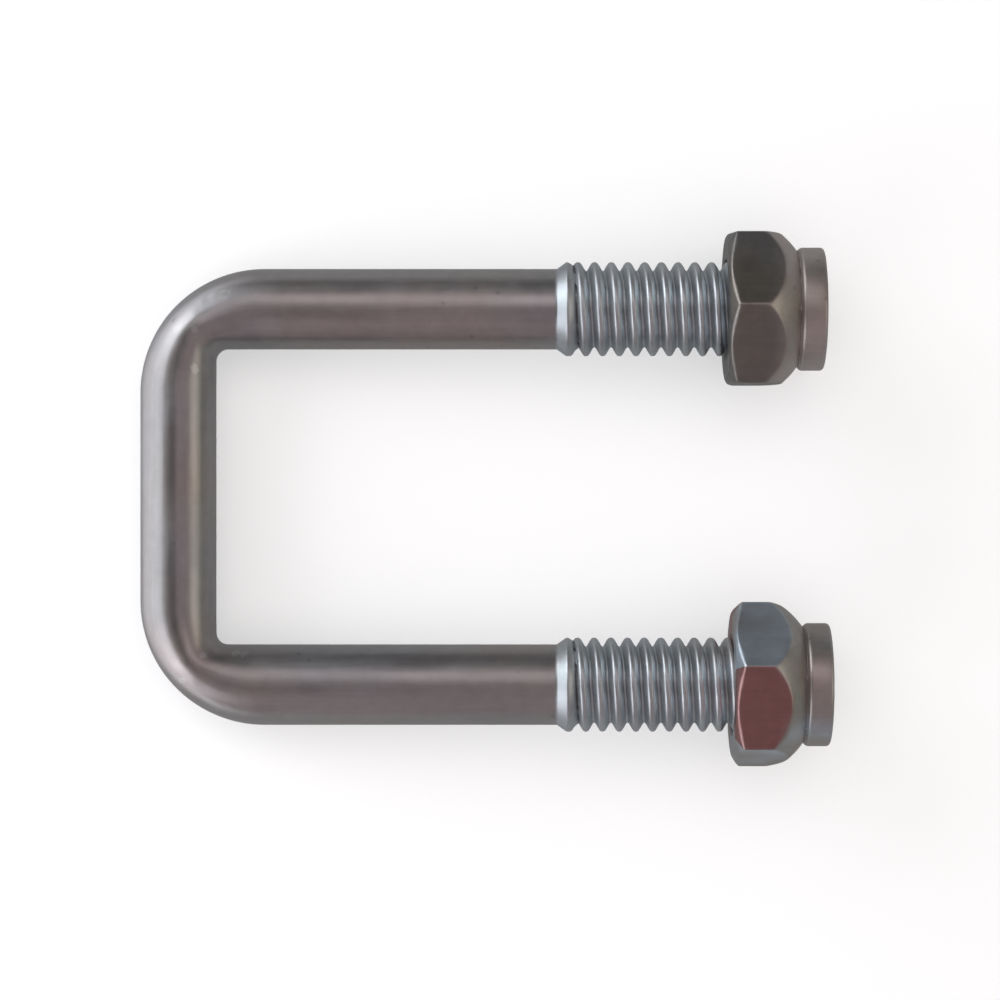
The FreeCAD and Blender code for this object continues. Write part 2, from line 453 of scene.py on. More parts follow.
@dataclass
class BentRod:
    """The U-shaped rod with a rolled thread on each leg. Sizes in millimetres.

    tip_dish shapes the shallow dish in each tip: every ring's share of the last one's radius, and how far
    below it the ring lies.
    """

    layout: Layout
    bar_thickness: float = 6.4
    bend_outer_r: float = 10.5
    bend_inner_r: float = 1.0
    shoulder: float = 0.8
    first_ring: float = 0.85
    tip_chamfer: float = 0.7
    major_r: float = 7.9375 / 2
    thread_depth: float = 0.73
    root_fade: float = 1.2
    columns: int = 96
    thread_columns: int = 72
    spacing: float = 0.36
    joint_gap: float = 0.25
    tip_dish: tuple[tuple[float, float], ...] = ((0.72, 0.0), (0.9, 0.12), (0.4, 0.04))
    press_marks: tuple[PressMark, ...] = (
        PressMark(-0.5, 17.1, 0.9, 0.22, 0.05, 90.0),
        PressMark(3.3, 13.3, 0.7, 0.45, 0.08, 0.0),
        PressMark(5.1, -18.2, 1.2, 0.2, 0.06, 90.0),
        PressMark(6.1, -18.4, 0.5, 0.35, 0.09, 20.0),
    )

    def inner_radius(self, angle: float) -> float:
        """Distance from a bend's centre to the inside of its corner, whose root is rounded.

        Args:
            angle: 0 at the crossbar, a quarter turn at the leg.

        Returns:
            The distance.
        """
        bar_in = self.bend_outer_r - self.bar_thickness
        leg_in = self.bend_outer_r - 2 * self.layout.shank_r
        across, up = bar_in - self.bend_inner_r, leg_in - self.bend_inner_r
        if angle <= math.atan2(up, bar_in):
            return bar_in / math.cos(angle)
        if angle >= math.atan2(leg_in, across):
            return leg_in / math.sin(angle)
        along = across * math.cos(angle) + up * math.sin(angle)
        return along + math.sqrt(along**2 - across**2 - up**2 + self.bend_inner_r**2)

    def bend_station(self, angle: float) -> Station:
        """The section at an angle round the left bend, thinned in the plane of the U and spread out of it.

        Args:
            angle: 0 at the crossbar, a quarter turn at the leg.

        Returns:
            The section.
        """
        layout = self.layout
        inner = self.inner_radius(angle)
        in_plane = (self.bend_outer_r - inner) / 2
        spread = max(in_plane, layout.shank_r * (layout.shank_r / in_plane) ** 0.4)
        outward = Vector((-math.cos(angle), math.sin(angle), 0))
        centre_y = layout.leg_y + layout.shank_r - self.bend_outer_r
        centre = Vector((layout.bar_outer_x + self.bend_outer_r, centre_y, 0))
        return Station(centre + outward * (self.bend_outer_r + inner) / 2, outward, in_plane, spread)

    def stations(self) -> list[Station]:
        """Set out every section of the rod.

        Returns:
            The sections, from the left leg's thread round to the right leg's.
        """
        layout = self.layout
        leg_side, bar_side = self.bend_station(math.pi / 2), self.bend_station(0.0)
        length = layout.shank_end - self.joint_gap - leg_side.middle.x
        steps = round(length / self.spacing)
        half = [leg_side.moved(length * (1 - step / steps), 0) for step in range(steps)]
        steps = round(self.bend_outer_r * math.pi / 2 / self.spacing)
        for step in range(steps):
            share = 1 - 2 * step / steps
            # The sections stand closer together about the middle of the bend, where the corner's root is
            spread = math.copysign(abs(share) ** 1.3, share)
            half.append(self.bend_station(math.pi / 4 * (1 + spread)))
        steps = round(bar_side.middle.y / self.spacing)
        half += [bar_side.moved(0, -bar_side.middle.y * step / steps) for step in range(steps)]
        middle = bar_side.moved(0, -bar_side.middle.y)
        return [*half, middle, *(station.mirrored() for station in reversed(half))]

    def bar_mesh(self) -> BMesh:
        """Make the bare rod: a circle carried round the U from section to section.

        Returns:
            An open tube, with each point's place on the straight rod kept as "straight".
        """
        bm = bmesh.new()
        straight = bm.verts.layers.float_vector.new("straight")
        ring = bmesh.ops.create_circle(bm, cap_ends=False, segments=self.columns, radius=1.0)["verts"]
        edges = list({edge for vert in ring for edge in vert.link_edges})
        for vert in ring:
            vert[straight] = vert.co * self.layout.shank_r
        now = Matrix.Identity(4)
        travel = 0.0
        for number, station in enumerate(self.stations()):
            if number:
                ring, edges = ring_drawn_on(bm, edges)
                travel += (station.middle - last).length
                for vert in ring:
                    vert[straight] = (vert[straight].x, vert[straight].y, -travel)
            last = station.middle
            wanted = station.matrix()
            bmesh.ops.transform(bm, matrix=wanted @ now.inverted(), verts=ring)
            now = wanted
        return bm

    def threaded_end(self) -> BMesh:
        """Make one threaded end along +Z from Z = 0, with its shoulder, its run-out and its chamfered tip.

        Returns:
            A mesh that is open at Z = 0.
        """
        layout = self.layout
        root_r = self.major_r - self.thread_depth
        end = layout.thread_length
        thread = Thread(layout.pitch, self.major_r, root_r, crest_flat=0.28, crest_ease=0.09)
        bm = thread.mesh(0, end, self.thread_columns)
        rise = (self.major_r - layout.shank_r) / self.shoulder

        def highest(z: float) -> float:
            """The shoulder's cone, the crests and the tip's chamfer."""
            return min(layout.shank_r + rise * z, self.major_r, self.major_r - z + end - self.tip_chamfer)

        def lowest(z: float) -> float:
            """A plain ring at the shoulder, then the grooves deepen to their full depth."""
            deep = eased((z - self.first_ring) / self.root_fade)
            return highest(z) * (1 - deep) + min(root_r, highest(z)) * deep

        limited(bm, lowest, highest)
        edges = ring_at(bm, end)
        for share, sunk in self.tip_dish:
            ring, edges = ring_drawn_on(bm, edges)
            bmesh.ops.scale(bm, vec=(share, share, 1), verts=ring)
            bmesh.ops.translate(bm, vec=(0, 0, -sunk), verts=ring)
        bmesh.ops.holes_fill(bm, edges=edges, sides=0)
        return bm

    def build(self) -> Object:
        """Make the rod as one closed mesh.

        Returns:
            The rod.
        """
        layout = self.layout
        bm = self.bar_mesh()
        for side in Side:
            end = self.threaded_end()
            bmesh.ops.transform(end, matrix=layout.on_leg(side, layout.shank_end), verts=end.verts)
            taken_in(bm, end)
        straight = bm.verts.layers.float_vector["straight"]
        worked = bm.verts.layers.float.new("worked")
        joint_x = layout.shank_end - self.joint_gap
        length = -min(vert[straight].z for vert in bm.verts)
        for vert in bm.verts:
            side = Side.LEFT if vert.co.y > 0 else Side.RIGHT
            if vert.co.x > joint_x + self.joint_gap / 2:
                past = vert.co.x - joint_x
                far = past if side is Side.LEFT else -length - past
                vert[straight] = (side.value * vert.co.y - layout.leg_y, vert.co.z, far)
                vert[worked] = 1.0
        for side in Side:
            open_edges = [edge for edge in bm.edges if edge.is_boundary]
            bridged = [edge for edge in open_edges if edge.verts[0].co.y * side.value > 0]
            bmesh.ops.bridge_loops(bm, edges=bridged)
        for vert in bm.verts:
            if vert.co.z > 0:
                deep = sum(mark.depth_at(vert.co) for mark in self.press_marks)
                vert.co.z -= deep * eased(vert.co.z / layout.shank_r)
        return finished(bm, "bent_rod_steel", Matrix.Identity(4))


# --- The lock nuts ---


@dataclass
class LockNut:
    """One nylon-insert lock nut on its leg. Sizes in millimetres, heights from its bearing face.

    flat_warmth gives each flat's tint, from -1 for cool to 1 for warm, counted from the nut's lowest corner
    towards +Y. worked_fade is how far the collar's finish fades into the flats. ring_gap is the narrow step
    where the turned outside meets the bore.
    """

    layout: Layout
    side: Side
    turn_deg: float
    across_flats: float = 12.7
    hex_height: float = 6.0
    height: float = 8.25
    corner_round: float = 0.3
    face_inset: float = 0.3
    face_slope: float = 0.55
    dome_height: float = 1.9
    dome_bulge: float = 0.35
    collar_r: float = 5.199
    neck_depth: float = 0.3
    neck_height: float = 0.3
    lip_roll: float = 0.7
    lip_thickness: float = 0.5
    lip_cover: float = 0.42
    pocket_r: float = 4.749
    pocket_floor: float = 6.1
    countersink_r: float = 0.4
    thread_play: float = 0.3
    thread_r: float = 7.9375 / 2
    insert_bite: float = 0.2
    insert_clearance: float = 0.03
    insert_bore_edge: float = 0.15
    insert_rim_edge: float = 0.08
    ring_columns: int = 96
    bore_columns: int = 72
    ring_gap: float = 0.05
    columns_per_side: int = 24
    flat_warmth: tuple[float, ...] = (0.0, 0.0, 0.0, 0.0, 0.0, 0.0)
    worked_fade: float = 0.8

    @property
    def flat_r(self) -> float:
        """Distance from the axis to a flat."""
        return self.across_flats / 2

    @property
    def mouth_r(self) -> float:
        """Radius of the countersinks' mouths."""
        return self.thread_r + self.countersink_r

    def column_angle(self, column: int) -> float:
        """The angle of a column. Columns crowd towards the hexagon's corners, and column 0 is a corner.

        Args:
            column: its number.

        Returns:
            The angle, in radians.
        """
        sector, place = divmod(column, self.columns_per_side)
        share = 2 * place / self.columns_per_side
        from_corner = share**1.6 if share <= 1 else 2 - (2 - share) ** 1.6
        return math.pi / 3 * sector + math.pi / 6 * from_corner

    def reach(self, angle: float) -> float:
        """Distance from the axis to the hexagon's side, with its corners rounded.

        Args:
            angle: the way to look, in radians from a corner.

        Returns:
            The distance.
        """
        from_corner = math.pi / 6 - abs(angle % (math.pi / 3) - math.pi / 6)
        rounding = self.corner_round
        centre_r = (self.flat_r - rounding) / math.cos(math.pi / 6)
        if centre_r * math.sin(from_corner) < rounding * math.sin(math.pi / 6 - from_corner):
            inside = rounding**2 - (centre_r * math.sin(from_corner)) ** 2
            return centre_r * math.cos(from_corner) + math.sqrt(inside)
        return self.flat_r / math.cos(math.pi / 6 - from_corner)

    def dome(self, radius: float) -> float:
        """Height of the rounded shoulder.

        Args:
            radius: where to look.

        Returns:
            The height there.
        """
        wide_r = self.flat_r / math.cos(math.pi / 6) + self.face_inset
        neck_r = self.collar_r - self.neck_depth
        fall = self.dome_height * (wide_r - neck_r) / (self.flat_r - neck_r)
        foot, top = Vector((wide_r, self.hex_height - fall)), Vector((neck_r, self.hex_height))
        chord = (top - foot).length
        arc_r = (chord**2 / 4 + self.dome_bulge**2) / (2 * self.dome_bulge)
        outward = Vector((fall, wide_r - neck_r)).normalized()
        centre = (foot + top) / 2 + outward * (self.dome_bulge - arc_r)
        return centre.y + math.sqrt(arc_r**2 - (radius - centre.x) ** 2)

    def outline(self, reach: float) -> list[tuple[float, float]]:
        """The nut's section where the hexagon stands at a distance from the axis.

        Args:
            reach: that distance.

        Returns:
            (radius, height) pairs from the lower countersink's mouth, round the outside, to the pocket's.
        """
        face_r = self.flat_r - self.face_inset
        foot, shoulder = (reach - face_r) * self.face_slope, self.dome(reach)
        neck_r = self.collar_r - self.neck_depth
        lip_r = self.pocket_r - self.lip_cover
        gap = self.ring_gap
        points = [Turned(self.mouth_r + gap, 0), Turned(self.mouth_r + 4 * gap, 0)]
        points += [Turned(face_r - 4 * gap, 0), Turned(face_r, 0, 0.15), Turned(reach, foot, 0.35)]
        points += [Turned(reach, foot + share * (shoulder - foot)) for share in (0.18, 0.4, 0.6, 0.78)]
        points.append(Turned(reach, shoulder, 0.4))
        for share in (0.15, 0.3, 0.45, 0.6, 0.75, 0.9):
            radius = reach + (neck_r - reach) * share
            points.append(Turned(radius, self.dome(radius)))
        points += [
            Turned(neck_r, self.hex_height, 0.12),
            Turned(self.collar_r, self.hex_height + self.neck_height, 0.2),
            Turned(self.collar_r, self.height - self.lip_roll - gap),
            Turned(self.collar_r, self.height, self.lip_roll),
            Turned(lip_r, self.height, 0.15),
            Turned(lip_r, self.height - self.lip_thickness, 0.1),
            Turned(self.pocket_r, self.height - self.lip_thickness, 0.05),
            Turned(self.pocket_r, self.pocket_floor, 0.05),
            Turned(self.mouth_r + gap, self.pocket_floor),
        ]
        return filleted(points, 4)

    def build(self) -> Object:
        """Make the nut: a turned section drawn out to a hexagon, closed by its threaded bore.

        Returns:
            The nut.
        """
        layout = self.layout
        columns = 6 * self.columns_per_side
        bm = bmesh.new()
        rows = bm.verts.layers.int.new("row")
        edges = chain(bm, self.outline(self.flat_r))
        for number, vert in enumerate(bm.verts):
            vert[rows] = number
        spun(bm, edges, columns)
        angles = [self.column_angle(column) for column in range(columns)]
        outlines = [self.outline(self.reach(angle)) for angle in angles]
        worked = bm.verts.layers.float.new("worked")
        warmth = bm.verts.layers.float.new("warmth")
        for vert in bm.verts:
            column = round(math.atan2(vert.co.y, vert.co.x) * columns / TAU) % columns
            radius, height = outlines[column][vert[rows]]
            vert.co = (radius * math.cos(angles[column]), radius * math.sin(angles[column]), height)
            vert[worked] = eased((height - self.dome(self.reach(angles[column]))) / self.worked_fade + 0.5)
            vert[warmth] = self.flat_warmth[column // self.columns_per_side] * (1 - vert[worked])
        bmesh.ops.rotate(bm, matrix=Matrix.Rotation(math.radians(self.turn_deg), 3, "Z"), verts=bm.verts)
        taken_in(bm, self.bore())
        for height in (0.0, self.pocket_floor):
            bmesh.ops.triangle_fill(bm, use_beauty=True, edges=ring_at(bm, height), normal=(0, 0, 1))
        return finished(bm, f"{self.side.word}_lock_nut", layout.on_leg(self.side, layout.face_x(self.side)))

    def bore(self) -> BMesh:
        """Make the threaded bore with a countersink at each end, in step with the leg's thread.

        Returns:
            An open tube.
        """
        layout = self.layout
        minor_r = self.thread_r - NUT_THREAD_DEPTH * layout.pitch + self.thread_play / 3
        start = (layout.shank_end - layout.face_x(self.side)) % layout.pitch
        thread = Thread(layout.pitch, self.thread_r + self.thread_play, minor_r, start)
        bm = thread.mesh(0, self.pocket_floor, self.bore_columns)

        def lowest(z: float) -> float:
            """The two countersinks' cones."""
            return self.mouth_r - min(z, self.pocket_floor - z)

        limited(bm, lowest, lambda z: self.mouth_r)
        return bm

    def build_insert(self) -> Object:
        """Make the nylon ring that the collar holds.

        Returns:
            The ring.
        """
        bore_r = self.thread_r - self.insert_bite
        outer_r = self.pocket_r - self.insert_clearance
        low = self.pocket_floor + self.insert_clearance
        high = self.height - self.lip_thickness - self.insert_clearance
        middle = (low + high) / 2
        bm = bmesh.new()
        section = filleted([
            Turned(outer_r, middle),
            Turned(outer_r, high, self.insert_rim_edge),
            Turned(bore_r, high, self.insert_bore_edge),
            Turned(bore_r, low, self.insert_bore_edge),
            Turned(outer_r, low, self.insert_rim_edge),
            Turned(outer_r, middle),
        ], 4)
        verts = [bm.verts.new((r, 0, z)) for r, z in section[:-1]]
        ring = [bm.edges.new(pair) for pair in zip(verts, [*verts[1:], verts[0]])]
        spun(bm, ring, self.ring_columns)
        bmesh.ops.remove_doubles(bm, verts=bm.verts, dist=WELD)
        place = self.layout.on_leg(self.side, self.layout.face_x(self.side))
        return finished(bm, f"{self.side.word}_nylon_ring", place)


# --- Finishes ---


class Graph:
    """Short ways to add and join nodes in one node tree."""

    def __init__(self, tree: NodeTree) -> None:
        """Hold the tree that nodes are added to."""
        self.tree = tree

    def add(self, kind: str, inputs: dict | None = None, **settings: object) -> Node:
        """Add a node.

        Args:
            kind: the node's type without its ShaderNode prefix.
            inputs: what goes into its sockets, by name or number: a socket to link, or a plain value.
            settings: the node's own settings.

        Returns:
            The node.
        """
        node = self.tree.nodes.new(kind if kind.startswith("Node") else "ShaderNode" + kind)
        for name, value in settings.items():
            setattr(node, name, value)
        for key, value in (inputs or {}).items():
            if isinstance(value, NodeSocket):
                self.tree.links.new(value, node.inputs[key])
            else:
                node.inputs[key].default_value = value
        return node

    def surface(self, inputs: dict) -> None:
        """Finish a material's tree with a Principled shader."""
        self.add("OutputMaterial", {"Surface": self.add("BsdfPrincipled", inputs).outputs[0]})

    def place(self, group: NodeTree, inputs: dict) -> bpy.types.bpy_prop_collection:
        """Put a shared group in the tree and return its outputs."""
        return self.add("Group", inputs, node_tree=group).outputs

    def give(self, sink: Node, outputs: dict[str, NodeSocket]) -> None:
        """Link what a group gives to its output node.

        Args:
            sink: the output node.
            outputs: the sockets to give, by name.
        """
        for label, socket in outputs.items():
            self.tree.links.new(socket, sink.inputs[label])

    def math(self, operation: str, *values: object, clamp: bool = False) -> NodeSocket:
        """The result of a Math node on sockets or numbers."""
        return self.add("Math", dict(enumerate(values)), operation=operation, use_clamp=clamp).outputs[0]

    def between(self, value: object, low: float, high: float) -> NodeSocket:
        """Where a value stands between two others, from 0 to 1, smoothly."""
        inputs = {"Value": value, "From Min": low, "From Max": high}
        return self.add("MapRange", inputs, interpolation_type="SMOOTHSTEP").outputs["Result"]

    def mix(self, factor: object, low: object, high: object, blend: str = "MIX") -> NodeSocket:
        """A mix of two colours."""
        inputs = {0: factor, 6: low, 7: high}
        return self.add("Mix", inputs, data_type="RGBA", blend_type=blend).outputs[2]

    def noise(self, vector: object, scale: object, detail: float = 3.0, rough: float = 0.5) -> NodeSocket:
        """The value of a Noise texture."""
        inputs = {"Vector": vector, "Scale": scale, "Detail": detail, "Roughness": rough}
        return self.add("TexNoise", inputs).outputs["Fac"]


def blank_material(name: str) -> tuple[Material, Graph]:
    """Start a material.

    Args:
        name: its name.

    Returns:
        The material and the graph of its empty tree.
    """
    material = bpy.data.materials.new(name)
    material.use_nodes = True
    material.node_tree.nodes.clear()
    return material, Graph(material.node_tree)


SOCKETS = {"value": "NodeSocketFloat", "vector": "NodeSocketVector", "colour": "NodeSocketColor"}


def shared_group(name: str, takes: dict[str, str], gives: dict[str, str]) -> tuple[Graph, Node, dict]:
    """Start a shader group.

    Args:
        name: the group's name.
        takes: its inputs, each with its sort.
        gives: its outputs, each with its sort.

    Returns:
        The graph to build in, its output node, and its input sockets by name.
    """
    tree = bpy.data.node_groups.new(name, "ShaderNodeTree")
    for label, sort in takes.items():
        tree.interface.new_socket(name=label, in_out="INPUT", socket_type=SOCKETS[sort])
    for label, sort in gives.items():
        tree.interface.new_socket(name=label, in_out="OUTPUT", socket_type=SOCKETS[sort])
    graph = Graph(tree)
    source = graph.add("NodeGroupInput")
    sink = graph.add("NodeGroupOutput")
    return graph, sink, {label: source.outputs[label] for label in takes}


class Effects:
    """The shader groups that several finishes share."""

    def __init__(self) -> None:
        """Build every group once."""
        self.wear = self.build_wear()
        self.drawn = self.build_drawn_lines()
        self.plating = self.build_plating()
        self.handling = self.build_handling()

    @staticmethod
    def build_wear() -> NodeTree:
        """Where edges stand proud and are rubbed bright, and where hollows are darkened.

        Returns:
            The group.
        """
        graph, sink, takes = shared_group(
            "edge_wear",
            {"Vector": "vector", "Break-up": "value"},
            {"Rubbed": "value", "Darkened hollows": "value"},
        )
        bent = graph.add("NewGeometry").outputs["Pointiness"]
        patches = graph.noise(takes["Vector"], takes["Break-up"], 4.0, 0.6)
        rubbed = graph.math("MULTIPLY", graph.between(bent, 0.505, 0.56), graph.between(patches, 0.3, 0.6))
        # Every hollow that pointiness finds is darkened, broken into patches
        darkened_hollows = graph.math("MULTIPLY", graph.between(bent, 0.495, 0.44), graph.between(patches, 0.25, 0.55))
        graph.give(sink, {"Rubbed": rubbed, "Darkened hollows": darkened_hollows})
        return graph.tree

    @staticmethod
    def build_drawn_lines() -> NodeTree:
        """Fine lines along Z of the given coordinates, with a few deeper scratches.

        Returns:
            The group.
        """
        graph, sink, takes = shared_group(
            "drawn_lines",
            {"Vector": "vector", "Fineness": "value", "Stretch": "value"},
            {"Lines": "value", "Scratches": "value"},
        )
        stretch = graph.add("CombineXYZ", {0: 1.0, 1: 1.0, 2: takes["Stretch"]}).outputs[0]
        pulled = graph.add("VectorMath", {0: takes["Vector"], 1: stretch}, operation="MULTIPLY").outputs[0]
        lines = graph.noise(pulled, takes["Fineness"], 5.0, 0.65)
        coarse = graph.noise(pulled, graph.math("MULTIPLY", takes["Fineness"], 0.23), 2.0, 0.5)
        graph.give(sink, {"Lines": lines, "Scratches": graph.between(coarse, 0.62, 0.7)})
        return graph.tree

    @staticmethod
    def build_plating() -> NodeTree:
        """Passivated zinc: faint patches of warm and cool tint over the metal's own colour.

        Returns:
            The group.
        """
        graph, sink, takes = shared_group(
            "zinc_plating",
            {"Vector": "vector", "Colour": "colour", "Warm": "colour", "Cool": "colour", "Tint": "value",
             "Warmth": "value", "Patch size": "value"},
            {"Colour": "colour", "Patches": "value"},
        )
        broad = graph.noise(takes["Vector"], takes["Patch size"], 2.0, 0.45)
        broad = graph.math("MULTIPLY_ADD", takes["Warmth"], 0.25, broad)
        fine = graph.noise(takes["Vector"], graph.math("MULTIPLY", takes["Patch size"], 9.0), 4.0, 0.6)
        warm = graph.math("MULTIPLY", graph.between(broad, 0.5, 0.72), takes["Tint"])
        cool = graph.math("MULTIPLY", graph.between(broad, 0.48, 0.3), takes["Tint"])
        tinted = graph.mix(cool, graph.mix(warm, takes["Colour"], takes["Warm"]), takes["Cool"])
        shade = graph.add("CombineColor", {n: graph.math("MULTIPLY_ADD", fine, 0.3, 0.85) for n in range(3)})
        shaded = graph.mix(1.0, tinted, shade.outputs[0], "MULTIPLY")
        graph.give(sink, {"Colour": shaded, "Patches": fine})
        return graph.tree

    @staticmethod
    def build_handling() -> NodeTree:
        """Smears of handling and small nicks.

        Returns:
            The group.
        """
        graph, sink, takes = shared_group(
            "handling",
            {"Vector": "vector", "Smear size": "value", "Nick size": "value"},
            {"Smears": "value", "Nicks": "value"},
        )
        smears = graph.noise(takes["Vector"], takes["Smear size"], 3.0, 0.55)
        cells = graph.add("TexVoronoi", {"Vector": takes["Vector"], "Scale": takes["Nick size"]})
        nicks = graph.between(cells.outputs["Distance"], 0.16, 0.05)
        gaps = graph.between(graph.noise(takes["Vector"], takes["Smear size"], 1.0), 0.5, 0.62)
        nicks = graph.math("MULTIPLY", nicks, gaps)
        graph.give(sink, {"Smears": graph.between(smears, 0.35, 0.65), "Nicks": nicks})
        return graph.tree


class Coordinates(Enum):
    """What a finish's pattern follows."""

    OBJECT = "the frame's own axes"
    STRAIGHT_ROD = "the rod as it was before it was bent"


@dataclass(frozen=True)
class PlatedSteel:
    """Zinc-plated steel, in colours as light bounces off it."""

    name: str
    colour: Colour
    warm: Colour
    cool: Colour
    hollow_and_nick_colour: Colour = (0.08, 0.08, 0.08)
    rubbed: Colour = (0.55, 0.55, 0.55)
    tint: float = 0.5
    roughness: float = 0.24
    line_depth: float = 0.12
    nick_depth: float = 0.25
    shift: tuple[float, float, float] = (0.0, 0.0, 0.0)
    follows: Coordinates = Coordinates.OBJECT
    worked_colour: Colour = (0.6, 0.6, 0.6)
    worked_roughness: float = 0.3

    def material(self, effects: Effects) -> Material:
        """Build the material from the shared groups.

        Args:
            effects: the shared groups.

        Returns:
            The material.
        """
        material, graph = blank_material(self.name)
        if self.follows is Coordinates.STRAIGHT_ROD:
            places = graph.add("Attribute", attribute_name="straight").outputs["Vector"]
            size = MM
        else:
            places = graph.add("TexCoord").outputs["Object"]
            size = 1.0
        scale = (size, size, size)
        vector = graph.add("Mapping", {"Vector": places, "Location": self.shift, "Scale": scale}).outputs[0]
        if self.follows is Coordinates.OBJECT:
            # Lines run along the legs, so X is turned to where the groups expect Z
            quarter = (0.0, -math.pi / 2, 0.0)
            vector = graph.add("Mapping", {"Vector": vector, "Rotation": quarter}).outputs[0]
        worked = graph.add("Attribute", attribute_name="worked").outputs["Fac"]
        colour = graph.mix(worked, (*self.colour, 1.0), (*self.worked_colour, 1.0))
        more = self.worked_roughness - self.roughness
        roughness = graph.math("MULTIPLY_ADD", worked, more, self.roughness)
        warmth = graph.add("Attribute", attribute_name="warmth").outputs["Fac"]
        wear = graph.place(effects.wear, {"Vector": vector, "Break-up": 900.0})
        drawn = graph.place(effects.drawn, {"Vector": vector, "Fineness": 2600.0, "Stretch": 0.04})
        marks = {"Vector": vector, "Smear size": 170.0, "Nick size": 520.0}
        handling = graph.place(effects.handling, marks)
        plating = graph.place(effects.plating, {
            "Vector": vector,
            "Colour": colour,
            "Warm": (*self.warm, 1.0),
            "Cool": (*self.cool, 1.0),
            "Tint": self.tint,
            "Warmth": warmth,
            "Patch size": 95.0,
        })
        # Hollows found by pointiness are darkened towards the same near-black colour that the nicks take
        seen = graph.mix(wear["Darkened hollows"], plating["Colour"], (*self.hollow_and_nick_colour, 1.0))
        seen = graph.mix(graph.math("MULTIPLY", wear["Rubbed"], 0.7), seen, (*self.rubbed, 1.0))
        lined = graph.math("MULTIPLY_ADD", drawn["Lines"], 0.24, 0.88)
        grey = graph.add("CombineColor", {n: lined for n in range(3)}).outputs[0]
        seen = graph.mix(1.0, seen, grey, "MULTIPLY")
        seen = graph.mix(graph.math("MULTIPLY", handling["Nicks"], 0.25), seen, (*self.hollow_and_nick_colour, 1.0))
        rough = graph.math("MULTIPLY_ADD", handling["Smears"], 0.07, roughness)
        rough = graph.math("MULTIPLY_ADD", drawn["Lines"], 0.08, rough)
        rough = graph.math("MULTIPLY_ADD", plating["Patches"], 0.06, rough)
        rough = graph.math("MULTIPLY_ADD", wear["Darkened hollows"], 0.25, rough, clamp=True)
        height = graph.math("MULTIPLY", drawn["Lines"], self.line_depth)
        height = graph.math("SUBTRACT", height, graph.math("MULTIPLY", drawn["Scratches"], self.line_depth))
        height = graph.math("SUBTRACT", height, graph.math("MULTIPLY", handling["Nicks"], self.nick_depth))
        height = graph.math("MULTIPLY_ADD", plating["Patches"], 0.08, height)
        bump = graph.add("Bump", {"Height": height, "Strength": 0.35, "Distance": 0.00005}).outputs[0]
        graph.surface({"Base Color": seen, "Metallic": 1.0, "Roughness": rough, "Normal": bump})
        return material


@dataclass(frozen=True)
class Nylon:
    """Natural nylon, a little yellowed and greasy."""

    name: str = "nylon"
    colour: Colour = (0.72, 0.69, 0.6)
    stained: Colour = (0.5, 0.46, 0.38)

    def material(self, effects: Effects) -> Material:
        """Build the material from the shared groups.

        Args:
            effects: the shared groups.

        Returns:
            The material.
        """
        material, graph = blank_material(self.name)
        vector = graph.add("TexCoord").outputs["Object"]
        marks = {"Vector": vector, "Smear size": 400.0, "Nick size": 900.0}
        handling = graph.place(effects.handling, marks)
        seen = graph.mix(handling["Smears"], (*self.colour, 1.0), (*self.stained, 1.0))
        rough = graph.math("MULTIPLY_ADD", handling["Smears"], 0.15, 0.38)
        height = graph.math("MULTIPLY", graph.noise(vector, 2500.0, 3.0), 0.3)
        height = graph.math("SUBTRACT", height, handling["Nicks"])
        bump = graph.add("Bump", {"Height": height, "Strength": 0.25, "Distance": 0.00003}).outputs[0]
        graph.surface({"Base Color": seen, "Roughness": rough, "Normal": bump})
        return material


# --- The studio ---


@dataclass(frozen=True)
class SoftBox:
    """A flat soft light that faces the object.

    The object sees it along a direction that leans lean_deg from straight up towards the compass side given
    by azimuth_deg (0 is +X, 90 is +Y). radiance is how bright its face is; a white floor in full light is 1.
    """

    name: str
    azimuth_deg: float
    lean_deg: float
    across: float
    height: float
    radiance: float
    colour: Colour = (1.0, 1.0, 1.0)
    distance: float = 0.45
    in_reflections: bool = True
    shadows: bool = True

    def build(self, target: Vector) -> None:
        """Hang the light.

        Args:
            target: what it faces, in metres.
        """
        lean, azimuth = math.radians(self.lean_deg), math.radians(self.azimuth_deg)
        turned = Matrix.Rotation(azimuth - math.pi / 2, 4, "Z") @ Matrix.Rotation(-lean, 4, "X")
        lamp = bpy.data.lights.new(self.name, "AREA")
        lamp.shape = "RECTANGLE"
        lamp.size = self.across
        lamp.size_y = self.height
        lamp.energy = self.radiance * math.pi * self.across * self.height
        lamp.color = self.colour
        lamp.use_shadow = self.shadows
        light = bpy.data.objects.new(self.name, lamp)
        light.matrix_world = Matrix.Translation(target) @ turned @ Matrix.Translation((0, 0, self.distance))
        light.visible_camera = False
        light.visible_glossy = self.in_reflections
        bpy.context.scene.collection.objects.link(light)


